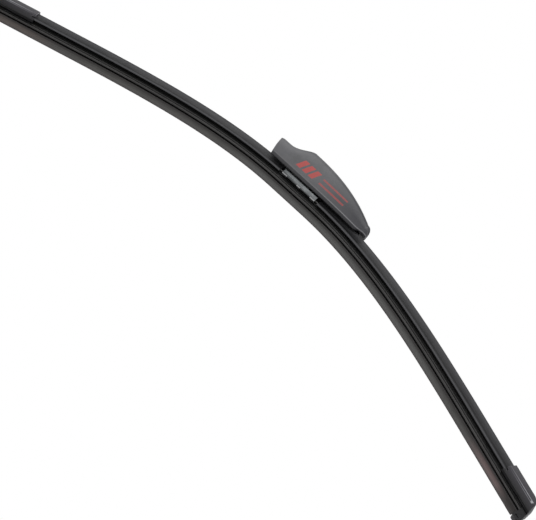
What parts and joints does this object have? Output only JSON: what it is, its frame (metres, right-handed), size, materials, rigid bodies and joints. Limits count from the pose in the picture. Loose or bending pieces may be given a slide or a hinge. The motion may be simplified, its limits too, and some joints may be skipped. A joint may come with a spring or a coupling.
{
  "type": "wiper blade",
  "caption": "Flat beam-type windscreen wiper blade with a rubber spoiler, spring rails, end caps and a fin-shaped cover over its rocking hook connector.",
  "frame": {"origin": "centre of the rivet that the hook connector rocks on, which is where the wiper arm's hook carries the blade", "axes": "+X along the blade towards its longer half and the cover's tail, +Z away from the glass, +Y across the blade, so the arm comes in from -X"},
  "size_m": [0.5938, 0.019, 0.117],
  "materials": {
    "wiping_rubber": "matt extruded rubber",
    "rail_steel": "black-coated spring steel",
    "spoiler_rubber": "satin extruded rubber",
    "cap_plastic": "fine-grained moulded plastic",
    "bracket_steel": "plain zinc-plated sheet",
    "rivet_steel": "plain steel",
    "adapter_plastic": "moulded plastic",
    "cover_plastic": "fine-grained moulded plastic"
  },
  "bodies": {
    "connector": {"hook_adapter": "adapter_plastic", "cover": "cover_plastic"},
    "blade": {"wiper_rubber": "wiping_rubber", "rail_front": "rail_steel", "rail_back": "rail_steel", "spoiler_left": "spoiler_rubber", "spoiler_right": "spoiler_rubber", "end_cap_left": "cap_plastic", "end_cap_right": "cap_plastic", "bracket": "bracket_steel", "rivet": "rivet_steel"}
  },
  "joints": [
    {"name": "rivet_pivot", "type": "hinge", "parent": "connector", "child": "blade", "pos_m": [0, 0, 0], "axis": [0, 1, 0], "range_deg": [-0.5, 10]}
  ]
}
